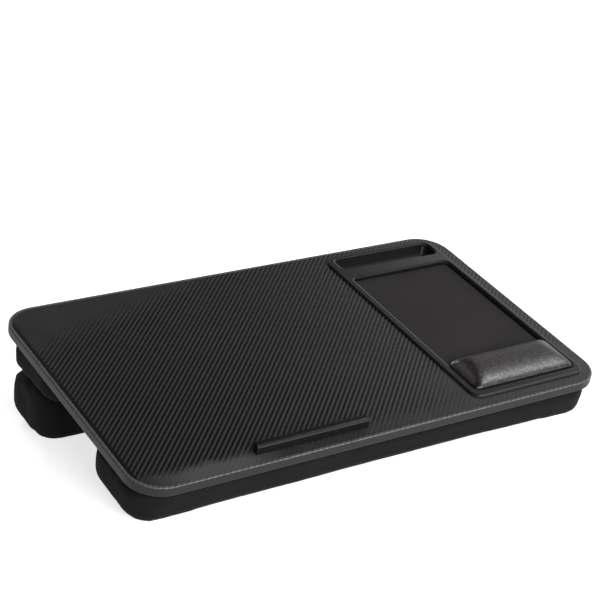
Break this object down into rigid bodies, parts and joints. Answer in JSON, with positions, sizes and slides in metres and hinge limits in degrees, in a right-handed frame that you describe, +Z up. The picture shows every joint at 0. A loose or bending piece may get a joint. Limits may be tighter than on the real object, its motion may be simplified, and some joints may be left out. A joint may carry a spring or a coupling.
{
  "type": "lap desk",
  "caption": "Lap desk with a tilted board on two bolster cushions, set-in mouse pad, wrist rest and phone slot, a stop bar and a fold-down booster cushion under the rear.",
  "frame": {"origin": "middle of the bounding box's footprint, on the surface that the two cushions stand on", "axes": "+X to the right along the long edges, +Y to the rear, +Z up; the top face is tilted 12.5 degrees, its rear edge raised"},
  "size_m": [0.537, 0.3022, 0.1074],
  "materials": {
    "board_laminate": "charcoal laminate, semi-gloss, with a fine diagonal twill",
    "edge_band": "satin charcoal edging with a rounded top edge",
    "fibreboard": "raw medium density fibreboard and hardboard",
    "lining": "matte black non-woven lining",
    "tray_plastic": "satin black moulded plastic",
    "pad_cloth": "matte charcoal fine-woven pad",
    "wrist_skin": "soft brown-black imitation leather with a fine grain",
    "gel": "soft gel",
    "stop_bar_plastic": "satin black",
    "screw_steel": "plain zinc-plated",
    "cushion_fabric": "matte black woven fabric",
    "cushion_foam": "open-cell foam",
    "hook_and_loop": "black hook and loop tape"
  },
  "bodies": {
    "desk": {"edge_band": "edge_band", "top_laminate": "board_laminate", "board_core": "fibreboard", "base_panel": "fibreboard", "underside_fabric": "lining", "tray_frame": "tray_plastic", "mouse_pad": "pad_cloth", "wrist_rest_cover": "wrist_skin", "wrist_rest_gel": "gel", "wrist_rest_base": "tray_plastic", "stop_bar": "stop_bar_plastic", "tray_screw_1": "screw_steel", "tray_screw_2": "screw_steel", "tray_screw_3": "screw_steel", "tray_screw_4": "screw_steel", "stop_screw_1": "screw_steel", "stop_screw_2": "screw_steel", "front_cushion_cover": "cushion_fabric", "front_cushion_top_panel": "cushion_fabric", "front_cushion_foam": "cushion_foam", "rear_cushion_cover": "cushion_fabric", "rear_cushion_top_panel": "cushion_fabric", "rear_cushion_foam": "cushion_foam", "hinge_tape": "cushion_fabric", "hook_strip_left": "hook_and_loop", "hook_strip_right": "hook_and_loop"},
    "booster": {"booster_cover": "cushion_fabric", "booster_top_panel": "cushion_fabric", "booster_foam": "cushion_foam", "loop_strip_left": "hook_and_loop", "loop_strip_right": "hook_and_loop"}
  },
  "joints": [
    {"name": "booster_fold", "type": "hinge", "parent": "desk", "child": "booster", "pos_m": [0, 0.05213, 0.04801], "axis": [-1, 0, 0], "range_deg": [0, 90], "deforming": ["hinge_tape"]}
  ]
}
